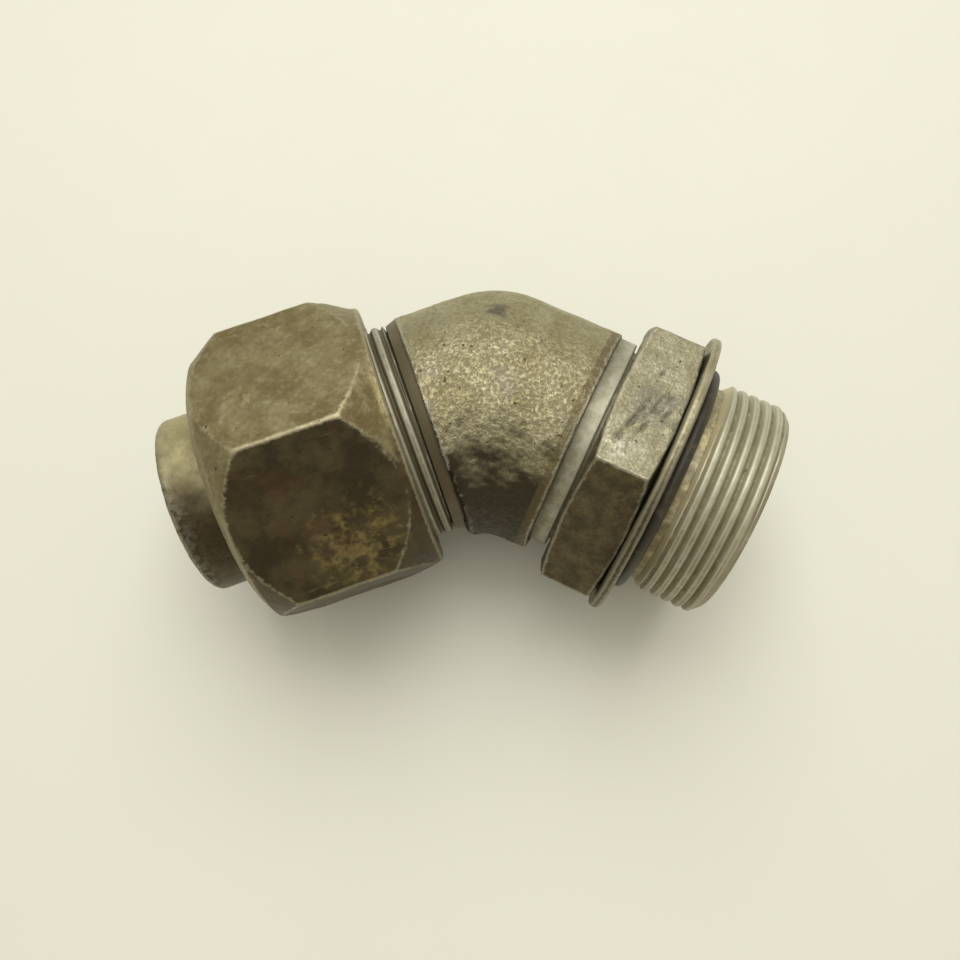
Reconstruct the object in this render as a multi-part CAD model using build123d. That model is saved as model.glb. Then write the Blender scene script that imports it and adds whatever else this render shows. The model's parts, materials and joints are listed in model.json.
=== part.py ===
from build123d import *
import math
import os

# A 45 degree elbow that joins a conduit to a threaded port. One leg ends in a compression gland,
# the other in a straight-threaded stud with a lock nut, a backup washer and an O-ring.
#
# Frame: +X runs along the stud, out of the fitting. +Z is square to the plane of the bend.
# The origin is on the stud's axis, in the plane of the washer's port-side face.
#
# Each leg is made lying along +X, with its distances counted from the point where the two axes
# cross, and is then turned into its place. All sizes are in millimetres.

# Bend
BEND_ANGLE = 45.0
BORE_RADIUS = 13.7
FORGING_RADIUS = 22.0
FORGING_OFFSET = 0.95       # the forging stands this far to the inside of the bend
CREASE_FILLET = 5.0
GLAND_FORGING_END = 13.2
STUD_FORGING_END = 17.0
FORGING_EDGE = 0.8

# Thread, 1 5/8 - 12, on both legs
PITCH = 25.4 / 12
MAJOR_RADIUS = 41.275 / 2
EXTERNAL_ROOT_RADIUS = 19.34
INTERNAL_CREST_RADIUS = 19.50
INTERNAL_ROOT_RADIUS = 20.79
THREAD_CLEARANCE = 0.15     # between flanks, along the axis
FLANK_SLOPE = math.tan(math.radians(30))
RELIEF_RADIUS = 19.1
RIDGE_SINK = 0.1            # a ridge's foot sits this deep in its rod or bore
RIDGE_END = 0.9             # half a ridge's foot, kept clear of a groove or an end
END_CHAMFER = 0.5

# Gland leg: what the body holds
NECK_RADIUS = 20.9          # a cone leads from the forging down to the thread
NECK_END = 15.1
NECK_END_RADIUS = 20.2
GLAND_MOUTH = 34.0
GLAND_CREST = 15.4          # a thread crest on the outside of the bend
CONDUIT_STOP = 20.0
CONDUIT_RADIUS = 14.95      # clears a 29.54 mm conduit
POCKET_FLOOR = 26.0
POCKET_RADIUS = 17.3
SEAT_START = 32.2
SEAT_MOUTH_RADIUS = 18.4
STACK_GAP = 0.1             # between pieces stacked along the gland's axis

# Gland nut
NUT_FLATS = 50.8
NUT_START = 19.0
NUT_END = 51.4
NUT_FRONT_RIM = 25.05
NUT_RIM_END = 20.4
NUT_RIM_END_RADIUS = 25.35
NUT_BACK_RIM = 23.1
NUT_BACK_EDGE = 50.1
NUT_BACK_EDGE_RADIUS = 25.35
NUT_CORNER_START = 27.0
NUT_CORNER_END = 44.0
NUT_TURN = 4.0              # a corner's turn from +Z, towards the inside of the bend
NUT_COUNTERSINK = 21.6
NUT_THREAD_END = 38.5
NUT_CHAMBER_RADIUS = 18.95
NUT_SHOULDER = 46.3
NUT_HOLE_RADIUS = 16.95
NUT_HOLE_CHAMFER = 0.5

# Pieces inside the gland
COLLAR_RADIUS = 16.7
COLLAR_END = 60.3
COLLAR_ROUND = 1.3
HEAD_RADIUS = 18.6
HEAD_START = 39.1
SEAL_LENGTH = 4.8
GLAND_WASHER_THICKNESS = 1.0
POCKET_CLEARANCE = 0.15
RING_RADIUS = 18.5
RING_SPLIT = 2.0

# Stud leg: what the body holds
SHOULDER_RADIUS = 20.6
SHOULDER_END = 20.2
SHOULDER_CHAMFER = 0.4
LOCK_THREAD_START = 20.9
LOCK_THREAD_END = 33.2
GROOVE_END = 37.6           # O-ring groove
STUD_END = 50.0
STUD_CREST = 38.97          # a thread crest on the outside of the bend

# Lock nut
LOCK_FLATS = 47.625
LOCK_START = 20.7
LOCK_END = 31.9
LOCK_RIM = 23.3
LOCK_CHAMFER = 1.0
LOCK_TURN = 17.8            # a corner's turn from +Z, towards the inside of the bend
LOCK_COUNTERSINK = 21.3

# Washer and O-ring
WASHER_START = 32.0
WASHER_FACE = 33.6
WASHER_RADIUS = 27.25
WASHER_HOLE_RADIUS = 20.8
WASHER_BEVEL = 0.6
O_RING_SECTION = 1.4        # the section's radius
O_RING_RADIUS = RELIEF_RADIUS + 0.12 + O_RING_SECTION
O_RING_CENTRE = WASHER_FACE + 0.05 + O_RING_SECTION

# Each leg's place, and where the axes cross
CROSSING = Location((-WASHER_FACE, 0, 0))
STUD_LEG = CROSSING
GLAND_LEG = CROSSING * Rot(0, 0, 180 + BEND_ANGLE)
HALF_BEND = math.radians(BEND_ANGLE / 2)


def turned(*profile):
    """A piece turned about X from (distance along the axis, radius) points."""
    return revolve(make_face(Polyline(*profile, close=True)), Axis.X, 360)


def drilled(start, end, radius):
    """A round hole or rod about X."""
    return turned((start, 0), (start, radius), (end, radius), (end, 0))


def hexagon(start, end, flats, turn):
    """A hexagonal bar about X, with a corner at +Z before it is turned about the axis."""
    section = RegularPolygon(radius=flats / 2, side_count=6, major_radius=False)
    section = Plane.YZ * (Rot(0, 0, 90) * section)
    return Rot(turn, 0, 0) * (Pos(start, 0, 0) * extrude(section, end - start))


def ridge(start, end, crest_at, root, root_half, crest, crest_half):
    """A right-hand helical ridge about X, with blunt ends, whose crest crosses -Z at crest_at."""
    first = crest_at + PITCH * math.ceil((start - crest_at) / PITCH)
    path = Helix(pitch=PITCH, height=end - first, radius=root)
    section = make_face(Polyline(
        (0, -root_half),
        (crest - root, -crest_half),
        (crest - root, crest_half),
        (0, root_half),
        close=True,
    ))
    plane = Plane(origin=path @ 0, x_dir=(1, 0, 0), z_dir=path % 0)
    band = sweep(plane * section, path=path, is_frenet=True)
    return Location((first, 0, 0), (0, 90, 0)) * band


def external_ridge(start, end, crest_at):
    """The ridge to add to a rod at the external root radius."""
    root = EXTERNAL_ROOT_RADIUS - RIDGE_SINK
    root_half = PITCH / 16 + (MAJOR_RADIUS - root) * FLANK_SLOPE
    return ridge(start, end, crest_at, root, root_half, MAJOR_RADIUS, PITCH / 16)


def internal_ridge(start, end, crest_at):
    """The ridge to add inside a nut, in the external thread's groove with clearance all round."""
    root = INTERNAL_ROOT_RADIUS + RIDGE_SINK
    half_at_major = PITCH * 7 / 16 - THREAD_CLEARANCE
    root_half = half_at_major + (root - MAJOR_RADIUS) * FLANK_SLOPE
    crest_half = half_at_major - (MAJOR_RADIUS - INTERNAL_CREST_RADIUS) * FLANK_SLOPE
    return ridge(start, end, crest_at + PITCH / 2, root, root_half, INTERNAL_CREST_RADIUS, crest_half)


# A crest crosses -Z a quarter turn before it crosses +Y, and a quarter turn after -Y.
STUD_CREST_BELOW = STUD_CREST - PITCH / 4
GLAND_CREST_BELOW = GLAND_CREST + PITCH / 4


def half_ball(radius):
    """The outside of the bend: a half disc turned about Z from one leg's start to the other's."""
    rim = CenterArc((0, 0), radius, -90, 180) + Line((0, radius), (0, -radius))
    upright = Plane(origin=(0, 0, 0), x_dir=(0, 1, 0), z_dir=(1, 0, 0))
    return revolve(upright * make_face(rim), Axis.Z, BEND_ANGLE)


def make_forging():
    """The rough elbow, whose axes stand a little to the inside of the bores' axes."""
    shift = FORGING_OFFSET * math.tan(HALF_BEND)
    centre = CROSSING * Pos(shift, -FORGING_OFFSET, 0)
    legs = []
    for turn, end in ((0, STUD_FORGING_END - shift), (180 + BEND_ANGLE, GLAND_FORGING_END - shift)):
        leg = turned(
            (0, 0),
            (0, FORGING_RADIUS),
            (end - FORGING_EDGE, FORGING_RADIUS),
            (end, FORGING_RADIUS - FORGING_EDGE),
            (end, 0),
        )
        legs.append(centre * Rot(0, 0, turn) * leg)
    forging = legs[0] + legs[1] + centre * half_ball(FORGING_RADIUS)
    return fillet(forging.edges().filter_by(GeomType.ELLIPSE), CREASE_FILLET)


def make_stud():
    """The stud leg's machined outside, solid."""
    stud = turned(
        (0, 0),
        (0, SHOULDER_RADIUS),
        (SHOULDER_END - SHOULDER_CHAMFER, SHOULDER_RADIUS),
        (SHOULDER_END, SHOULDER_RADIUS - SHOULDER_CHAMFER),
        (SHOULDER_END, EXTERNAL_ROOT_RADIUS),
        (LOCK_THREAD_END, EXTERNAL_ROOT_RADIUS),
        (LOCK_THREAD_END, RELIEF_RADIUS),
        (GROOVE_END, RELIEF_RADIUS),
        (GROOVE_END, EXTERNAL_ROOT_RADIUS),
        (STUD_END - END_CHAMFER, EXTERNAL_ROOT_RADIUS),
        (STUD_END, EXTERNAL_ROOT_RADIUS - END_CHAMFER),
        (STUD_END, 0),
    )
    stud += external_ridge(LOCK_THREAD_START, LOCK_THREAD_END - RIDGE_END, STUD_CREST_BELOW)
    stud += external_ridge(GROOVE_END + RIDGE_END, STUD_END - END_CHAMFER - RIDGE_END, STUD_CREST_BELOW)
    return stud


def make_spigot():
    """The gland leg's machined outside, solid."""
    spigot = turned(
        (0, 0),
        (0, RELIEF_RADIUS),
        (GLAND_FORGING_END - FORGING_EDGE, RELIEF_RADIUS),
        (GLAND_FORGING_END - FORGING_EDGE, NECK_RADIUS),
        (GLAND_FORGING_END, NECK_RADIUS),
        (NECK_END, NECK_END_RADIUS),
        (NECK_END, EXTERNAL_ROOT_RADIUS),
        (GLAND_MOUTH - END_CHAMFER, EXTERNAL_ROOT_RADIUS),
        (GLAND_MOUTH, EXTERNAL_ROOT_RADIUS - END_CHAMFER),
        (GLAND_MOUTH, 0),
    )
    spigot += external_ridge(NECK_END + RIDGE_END, GLAND_MOUTH - END_CHAMFER - RIDGE_END, GLAND_CREST_BELOW)
    return spigot


def make_elbow_body():
    pocket = turned(
        (0, 0),
        (0, BORE_RADIUS),
        (CONDUIT_STOP, BORE_RADIUS),
        (CONDUIT_STOP, CONDUIT_RADIUS),
        (POCKET_FLOOR, CONDUIT_RADIUS),
        (POCKET_FLOOR, POCKET_RADIUS),
        (SEAT_START, POCKET_RADIUS),
        (GLAND_MOUTH, SEAT_MOUTH_RADIUS),
        (GLAND_MOUTH, 0),
    )
    passage = STUD_LEG * drilled(0, STUD_END, BORE_RADIUS) + GLAND_LEG * pocket
    passage += CROSSING * half_ball(BORE_RADIUS)
    return make_forging() + STUD_LEG * make_stud() + GLAND_LEG * make_spigot() - passage


def make_gland_nut():
    blank = turned(
        (NUT_START, 0),
        (NUT_START, NUT_FRONT_RIM),
        (NUT_RIM_END, NUT_RIM_END_RADIUS),
        (NUT_CORNER_START, NUT_FLATS / math.sqrt(3)),
        (NUT_CORNER_END, NUT_FLATS / math.sqrt(3)),
        (NUT_BACK_EDGE, NUT_BACK_EDGE_RADIUS),
        (NUT_END, NUT_BACK_RIM),
        (NUT_END, 0),
    )
    nut = hexagon(NUT_START, NUT_END, NUT_FLATS, -NUT_TURN) & blank
    nut -= turned(
        (NUT_START, 0),
        (NUT_START, NUT_COUNTERSINK),
        (NUT_START + NUT_COUNTERSINK - INTERNAL_ROOT_RADIUS, INTERNAL_ROOT_RADIUS),
        (NUT_THREAD_END, INTERNAL_ROOT_RADIUS),
        (NUT_THREAD_END, NUT_CHAMBER_RADIUS),
        (NUT_SHOULDER, NUT_CHAMBER_RADIUS),
        (NUT_SHOULDER, NUT_HOLE_RADIUS),
        (NUT_END - NUT_HOLE_CHAMFER, NUT_HOLE_RADIUS),
        (NUT_END, NUT_HOLE_RADIUS + NUT_HOLE_CHAMFER),
        (NUT_END, 0),
    )
    nut += internal_ridge(NUT_START + RIDGE_END, NUT_THREAD_END - RIDGE_END, GLAND_CREST_BELOW)
    return GLAND_LEG * nut


def make_gland_sleeve():
    sleeve = turned(
        (HEAD_START, CONDUIT_RADIUS),
        (HEAD_START, HEAD_RADIUS),
        (NUT_SHOULDER - STACK_GAP, HEAD_RADIUS),
        (NUT_SHOULDER - STACK_GAP, COLLAR_RADIUS),
        (COLLAR_END, COLLAR_RADIUS),
        (COLLAR_END, CONDUIT_RADIUS),
    )
    rim = sleeve.edges().filter_by(GeomType.CIRCLE).group_by(Axis.X)[-1].sort_by(SortBy.RADIUS)[-1]
    return GLAND_LEG * fillet(rim, COLLAR_ROUND)


def make_sealing_ring():
    start = POCKET_FLOOR + STACK_GAP
    ring = drilled(start, start + SEAL_LENGTH, POCKET_RADIUS - POCKET_CLEARANCE)
    ring -= drilled(start, start + SEAL_LENGTH, CONDUIT_RADIUS)
    return GLAND_LEG * ring


def make_gland_washer():
    start = POCKET_FLOOR + SEAL_LENGTH + 2 * STACK_GAP
    end = start + GLAND_WASHER_THICKNESS
    washer = drilled(start, end, POCKET_RADIUS - POCKET_CLEARANCE) - drilled(start, end, CONDUIT_RADIUS)
    return GLAND_LEG * washer


def make_compression_ring():
    start = POCKET_FLOOR + SEAL_LENGTH + GLAND_WASHER_THICKNESS + 3 * STACK_GAP
    end = HEAD_START - STACK_GAP
    slope = (SEAT_MOUTH_RADIUS - POCKET_RADIUS) / (GLAND_MOUTH - SEAT_START)
    nose = POCKET_RADIUS - 2 * POCKET_CLEARANCE
    ring = turned(
        (start, CONDUIT_RADIUS),
        (start, nose),
        (SEAT_START + STACK_GAP, nose),
        (SEAT_START + STACK_GAP + (RING_RADIUS - nose) / slope, RING_RADIUS),
        (end, RING_RADIUS),
        (end, CONDUIT_RADIUS),
    )
    middle = (start + end) / 2
    ring -= Pos(middle, 0, RING_RADIUS) * Box(end - start + 1, RING_SPLIT, RING_RADIUS)
    return GLAND_LEG * ring


def make_lock_nut():
    corner = LOCK_FLATS / math.sqrt(3)
    blank = turned(
        (LOCK_START, 0),
        (LOCK_START, LOCK_RIM),
        (LOCK_START + LOCK_CHAMFER, corner),
        (LOCK_END - LOCK_CHAMFER, corner),
        (LOCK_END, LOCK_RIM),
        (LOCK_END, 0),
    )
    nut = hexagon(LOCK_START, LOCK_END, LOCK_FLATS, LOCK_TURN) & blank
    depth = LOCK_COUNTERSINK - INTERNAL_ROOT_RADIUS
    nut -= turned(
        (LOCK_START, 0),
        (LOCK_START, LOCK_COUNTERSINK),
        (LOCK_START + depth, INTERNAL_ROOT_RADIUS),
        (LOCK_END - depth, INTERNAL_ROOT_RADIUS),
        (LOCK_END, LOCK_COUNTERSINK),
        (LOCK_END, 0),
    )
    nut += internal_ridge(LOCK_START + RIDGE_END, LOCK_END - RIDGE_END, STUD_CREST_BELOW)
    return STUD_LEG * nut


def make_backup_washer():
    washer = turned(
        (WASHER_START, WASHER_HOLE_RADIUS),
        (WASHER_START, WASHER_RADIUS - WASHER_BEVEL),
        (WASHER_START + WASHER_BEVEL, WASHER_RADIUS),
        (WASHER_FACE - WASHER_BEVEL / 2, WASHER_RADIUS),
        (WASHER_FACE, WASHER_RADIUS - WASHER_BEVEL / 2),
        (WASHER_FACE, WASHER_HOLE_RADIUS),
    )
    return STUD_LEG * washer


def make_boss_o_ring():
    ring = Pos(O_RING_CENTRE, 0, 0) * (Rot(0, 90, 0) * Torus(O_RING_RADIUS, O_RING_SECTION))
    return STUD_LEG * ring


PIECES = {
    "elbow_body": make_elbow_body,
    "gland_nut": make_gland_nut,
    "gland_sleeve": make_gland_sleeve,
    "compression_ring": make_compression_ring,
    "gland_washer": make_gland_washer,
    "sealing_ring": make_sealing_ring,
    "lock_nut": make_lock_nut,
    "backup_washer": make_backup_washer,
    "boss_o_ring": make_boss_o_ring,
}

os.makedirs("parts", exist_ok=True)
for name, make in PIECES.items():
    export_step(make(), f"parts/{name}.step")
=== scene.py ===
import json
import math

import bmesh
import bpy
from mathutils import Matrix, Vector, noise


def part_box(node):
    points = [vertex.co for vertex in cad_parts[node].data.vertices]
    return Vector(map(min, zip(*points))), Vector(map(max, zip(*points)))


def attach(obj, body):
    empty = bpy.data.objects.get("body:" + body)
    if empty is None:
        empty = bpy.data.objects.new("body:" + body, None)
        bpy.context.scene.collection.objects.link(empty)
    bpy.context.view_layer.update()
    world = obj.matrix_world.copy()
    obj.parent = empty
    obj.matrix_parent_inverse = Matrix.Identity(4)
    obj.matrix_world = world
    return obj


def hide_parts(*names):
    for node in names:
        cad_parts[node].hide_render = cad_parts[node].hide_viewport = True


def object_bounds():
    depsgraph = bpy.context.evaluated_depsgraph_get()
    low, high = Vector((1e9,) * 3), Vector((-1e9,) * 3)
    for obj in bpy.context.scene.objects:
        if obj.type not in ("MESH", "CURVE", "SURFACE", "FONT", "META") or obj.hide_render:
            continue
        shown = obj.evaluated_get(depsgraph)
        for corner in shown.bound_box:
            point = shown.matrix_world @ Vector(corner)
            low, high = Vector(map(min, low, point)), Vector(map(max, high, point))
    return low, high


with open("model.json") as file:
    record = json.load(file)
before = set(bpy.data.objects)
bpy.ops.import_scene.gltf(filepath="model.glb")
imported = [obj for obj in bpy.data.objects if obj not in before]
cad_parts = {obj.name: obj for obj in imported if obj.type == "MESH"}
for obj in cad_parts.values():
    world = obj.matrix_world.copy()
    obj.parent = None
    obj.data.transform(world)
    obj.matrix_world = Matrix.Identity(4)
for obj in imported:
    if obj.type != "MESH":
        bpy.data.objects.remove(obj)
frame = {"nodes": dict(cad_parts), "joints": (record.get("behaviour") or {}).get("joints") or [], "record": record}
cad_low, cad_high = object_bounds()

# Shapes are made in millimetres, each lying along +X with its distances counted from the point
# where the two legs' axes cross. The matrix of its leg then puts it in its place, in metres.

MM = 0.001
joints = {j["name"]: j for j in frame["joints"]}
mounts = {m["name"]: m for m in frame["record"]["mounts"]}
gland_axis = Vector(joints["gland_nut_turn"]["axis"]).normalized()
socket = Vector(mounts["conduit_socket"]["pos_m"]) / MM
crossing = socket - gland_axis * (socket.y / gland_axis.y)
gland_turn = math.atan2(gland_axis.y, gland_axis.x)
STUD = Matrix.Scale(MM, 4) @ Matrix.Translation(crossing)
GLAND = STUD @ Matrix.Rotation(gland_turn, 4, "Z")
TO_INSIDE = (gland_axis + Vector((1, 0, 0))).normalized()


def along_stud(x):
    """Metres in the frame as millimetres along the stud from the crossing."""
    return x / MM - crossing.x


# Sizes, in millimetres

STUD_END = along_stud(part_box("elbow_body")[1].x)
LOCK_START, LOCK_END = (along_stud(corner.x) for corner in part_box("lock_nut"))
WASHER_START, WASHER_FACE = (along_stud(corner.x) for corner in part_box("backup_washer"))
WASHER_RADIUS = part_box("backup_washer")[1].z / MM
RING_START, RING_END = (along_stud(corner.x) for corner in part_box("boss_o_ring"))
RING_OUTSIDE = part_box("boss_o_ring")[1].z / MM
COLLAR_END = (socket - crossing).length
CONDUIT_RADIUS = mounts["conduit_socket"]["dims"]["r_mm"]
BORE_RADIUS = mounts["stud_bore"]["dims"]["r_mm"]
MAJOR_RADIUS = mounts["stud_thread"]["dims"]["r_mm"]

PITCH = 25.4 / 12
THREAD_DEPTH = 0.68
THREAD_CROWN = 0.2          # half the width of a crest, as a share of the pitch
THREAD_FLANK = 0.26         # the width of a flank, as a share of the pitch
THREAD_DOME = 1.6           # a crest's drop in millimetres is this times the square of the share
THREAD_GRAIN = 18           # the points along one pitch
DARKENING_DEPTH = 0.8           # below the crests, where the spigot's thread is darkest
RELIEF_RADIUS = 19.15
STUD_CREST = 38.97
GLAND_CREST = 15.4

FORGING_RADIUS = 22.0
FORGING_OFFSET = 0.95
FORGING_STEP = 1.0          # how far the machined ends reach into the forging
FORGING_CELL = 0.42         # the size of the skin's cells, as for the two nuts
GLAND_FORGING_END = 13.2
STUD_FORGING_END = 17.0
BALL_FACETS = 24
HALF_BEND = math.pi / 8
CREASE_REACH = 7.0
CREASE_PASSES = 90
SHOULDER_RADIUS = 20.6
SHOULDER_END = 20.2
LOCK_THREAD_START = 20.9
LOCK_THREAD_END = 33.2
GROOVE_END = 37.6

NECK_RADIUS = 20.9
NECK_END = 15.1
NECK_END_RADIUS = 20.2
GLAND_THREAD_START = 15.3
GLAND_MOUTH = 34.0
CONDUIT_STOP = 20.0
POCKET_FLOOR = 26.0
POCKET_RADIUS = 17.3
SEAT_START = 32.2
SEAT_MOUTH_RADIUS = 18.4

NUT_FLATS = 50.8
NUT_START = 19.0
NUT_END = 51.4
NUT_FRONT_RIM = 25.05
NUT_RIM_END = 20.4
NUT_BACK_RIM = 23.1
NUT_BACK_EDGE = 50.1
NUT_EDGE_RADIUS = 25.35
NUT_CORNER_START = 27.0
NUT_CORNER_END = 44.0
NUT_TURN = math.radians(4)
NUT_THREAD_RADIUS = 20.79
NUT_THREAD_END = 38.5
NUT_CHAMBER_RADIUS = 18.95
NUT_SHOULDER = 46.3
NUT_HOLE_RADIUS = 16.95
NUT_MOUTH_RADIUS = 21.6
NUT_PLATE_RADIUS = 23.0     # beyond this the plate is uneven
NUT_CELL = 0.395

LOCK_FLATS = 47.625
LOCK_RIM = 23.3
LOCK_CHAMFER = 1.0
LOCK_MOUTH_RADIUS = 21.3
LOCK_PLATE_RADIUS = 22.6
LOCK_GAP = 0.12             # keeps the nut's uneven face off the washer
LOCK_CELL = 0.33
LOCK_TURN = math.radians(17.8)

WASHER_HOLE_RADIUS = 20.8
WASHER_PLATE_RADIUS = 22.5
RING_SQUEEZE = 0.9
RING_FACETS = 28

COLLAR_RADIUS = 16.7
HEAD_RADIUS = 18.6
HEAD_START = 39.1
HEAD_END = 46.1

SEGMENTS = 240
FINE_STEP = 0.7
COARSE_STEP = 4.0
RIM_GAP = 0.02              # between two open rims that are joined later
SHARP_ANGLE = math.radians(45)


# Shaping

def clamped(value):
    return min(max(value, 0.0), 1.0)


def rounded(corners, facets=4):
    """A closed outline from (x, y) or (x, y, fillet radius) corners, its fillets turned as arcs."""
    points = []
    for before, here, after in zip(corners[-1:] + corners[:-1], corners, corners[1:] + corners[:1]):
        corner = Vector(here[:2])
        if len(here) == 2:
            points.append(corner)
            continue
        into = (Vector(before[:2]) - corner).normalized()
        away = (Vector(after[:2]) - corner).normalized()
        opening = into.angle(away)
        centre = corner + (into + away).normalized() * (here[2] / math.sin(opening / 2))
        start = corner + into * (here[2] / math.tan(opening / 2)) - centre
        swing = math.copysign(math.pi - opening, into.cross(away))
        for i in range(facets + 1):
            points.append(centre + Matrix.Rotation(-swing * i / facets, 2) @ start)
    return points


def divided(points, step, closed=True):
    """The outline with its sides cut to at most a step long."""
    result = []
    for a, b in zip(points, points[1:] + points[:1]):
        a, b = Vector(a[:2]), Vector(b[:2])
        count = math.ceil((b - a).length / step)
        result.extend(a.lerp(b, i / count) for i in range(count))
    if not closed:
        last = Vector(points[-1][:2])
        while (result[-1] - last).length > 1e-6:
            result.pop()
    return result


def lathe(bm, outline, closed=True, advance=0.0):
    """Spins an outline of (distance, radius) points about X, and along it by advance, like a screw."""
    verts = [bm.verts.new((x, 0.0, radius)) for x, radius in outline]
    edges = [bm.edges.new(pair) for pair in zip(verts, verts[1:])]
    if closed:
        edges.append(bm.edges.new((verts[-1], verts[0])))
    bmesh.ops.spin(bm, geom=verts + edges, cent=(0, 0, 0), axis=(1, 0, 0),
                   dvec=(advance / SEGMENTS, 0, 0), angle=math.tau, steps=SEGMENTS,
                   use_merge=advance == 0.0)


def turned(outline, closed=True):
    bm = bmesh.new()
    lathe(bm, outline, closed)
    return bm


def add_thread(bm, start, end, crest_at, low, lead):
    """A right-hand thread's surface about X, with a crest on +Z at crest_at.

    It narrows to the radius low at both ends, over the length lead.
    """
    first = crest_at + PITCH * math.floor((start - crest_at) / PITCH - 1)
    turns = math.ceil((end - first) / PITCH) + 1
    outline = []
    for i in range(turns * THREAD_GRAIN + 1):
        away = abs((i / THREAD_GRAIN + 0.5) % 1.0 - 0.5)
        flank = clamped((away - THREAD_CROWN) / THREAD_FLANK)
        dome = THREAD_DOME * min(away, THREAD_CROWN) ** 2
        drop = dome + THREAD_DEPTH * flank
        outline.append((first + PITCH * i / THREAD_GRAIN, MAJOR_RADIUS - drop))
    thread = bmesh.new()
    lathe(thread, outline, closed=False, advance=PITCH)
    bmesh.ops.remove_doubles(thread, verts=thread.verts, dist=1e-4)
    for place, keep in ((start, -1), (end, 1)):
        whole = thread.verts[:] + thread.edges[:] + thread.faces[:]
        bmesh.ops.bisect_plane(thread, geom=whole, dist=1e-5, plane_co=(place, 0, 0),
                               plane_no=(keep, 0, 0), clear_outer=True)
    rise = (MAJOR_RADIUS - low) / lead
    for v in thread.verts:
        limit = low + rise * min(v.co.x - start, end - v.co.x)
        radius = math.hypot(v.co.y, v.co.z)
        if radius > limit:
            v.co.y *= limit / radius
            v.co.z *= limit / radius
    mesh = bpy.data.meshes.new("thread")
    thread.to_mesh(mesh)
    bm.from_mesh(mesh)
    bpy.data.meshes.remove(mesh)
    thread.free()


def close_gaps(bm, places):
    """Joins the two open rims that meet at each distance along X."""
    for place in places:
        rims = [e for e in bm.edges if e.is_boundary and all(abs(v.co.x - place) < 0.05 for v in e.verts)]
        bmesh.ops.bridge_loops(bm, edges=rims)


def cut_flats(bm, flats, corner):
    """Cuts a blank to a hexagon; corner is the direction of one corner, as an angle from +Z to +Y."""
    for i in range(6):
        turn = corner + math.radians(30 + 60 * i)
        outwards = Vector((0, math.sin(turn), math.cos(turn)))
        whole = bm.verts[:] + bm.edges[:] + bm.faces[:]
        cut = bmesh.ops.bisect_plane(bm, geom=whole, dist=1e-5, plane_co=outwards * flats / 2,
                                     plane_no=outwards, clear_outer=True)
        rim = [e for e in cut["geom_cut"] if isinstance(e, bmesh.types.BMEdge)]
        bmesh.ops.holes_fill(bm, edges=rim, sides=0)


def with_modifiers(bm, add):
    """The shape after the modifiers that add(object) puts on it."""
    mesh = bpy.data.meshes.new("shaping")
    bm.to_mesh(mesh)
    bm.free()
    helper = bpy.data.objects.new("shaping", mesh)
    bpy.context.scene.collection.objects.link(helper)
    add(helper)
    bpy.context.view_layer.update()
    made = bpy.data.meshes.new_from_object(
        helper.evaluated_get(bpy.context.evaluated_depsgraph_get()))
    result = bmesh.new()
    result.from_mesh(made)
    bpy.data.objects.remove(helper)
    bpy.data.meshes.remove(mesh)
    bpy.data.meshes.remove(made)
    return result


def soften(bm, verts):
    bmesh.ops.smooth_vert(bm, verts=verts, factor=0.5, use_axis_x=True, use_axis_y=True, use_axis_z=True)


def skinned(bm, cell):
    """One even skin of small cells over a shape, or over several that pass through each other."""
    def add(helper):
        remesh = helper.modifiers.new("skin", "REMESH")
        remesh.mode = "VOXEL"
        remesh.voxel_size = cell
    bmesh.ops.recalc_face_normals(bm, faces=bm.faces)
    result = with_modifiers(bm, add)
    soften(result, result.verts)
    return result


def bored(bm, cutters):
    """The shape less each of the cutters, which are closed shapes."""
    helpers = []
    for cutter in cutters:
        bmesh.ops.recalc_face_normals(cutter, faces=cutter.faces)
        mesh = bpy.data.meshes.new("cutter")
        cutter.to_mesh(mesh)
        cutter.free()
        helpers.append(bpy.data.objects.new("cutter", mesh))
        bpy.context.scene.collection.objects.link(helpers[-1])

    def add(helper):
        for cutter in helpers:
            less = helper.modifiers.new("less", "BOOLEAN")
            less.operation = "DIFFERENCE"
            less.solver = "EXACT"
            less.object = cutter
    result = with_modifiers(bm, add)
    for helper in helpers:
        mesh = helper.data
        bpy.data.objects.remove(helper)
        bpy.data.meshes.remove(mesh)
    return result


def roughen(bm, height, size, seed, where=lambda co: 1.0):
    """Moves the surface in and out by smooth noise of that height and grain, in millimetres."""
    bm.normal_update()
    shift = Vector((17.3, 5.1, 9.7)) * seed
    moves = [v.normal * (height * where(v.co) * noise.fractal(v.co / size + shift, 0.8, 2.0, 3))
             for v in bm.verts]
    for v, move in zip(bm.verts, moves):
        v.co += move


def beyond(radius):
    """1 further from the leg's axis than the radius, else 0."""
    return lambda co: 1.0 if math.hypot(co.y, co.z) > radius else 0.0


def gouge(bm, centre, along, half_length, half_width, depth, seed):
    """A ragged dent in the surface round centre, longer in the direction along."""
    centre, along = Vector(centre), Vector(along).normalized()
    bm.normal_update()
    moves = []
    for v in bm.verts:
        offset = v.co - centre
        length = offset.dot(along)
        width = (offset - along * length).length
        wander = noise.noise(v.co / 1.7 + Vector((seed, 0, 0)))
        reach = math.hypot(length / half_length, width / half_width) + 0.45 * wander
        if reach < 1.0:
            moves.append((v, v.normal * (depth * (1 - reach) * min(1.0, 2 - 2 * reach))))
    for v, move in moves:
        v.co -= move


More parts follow.
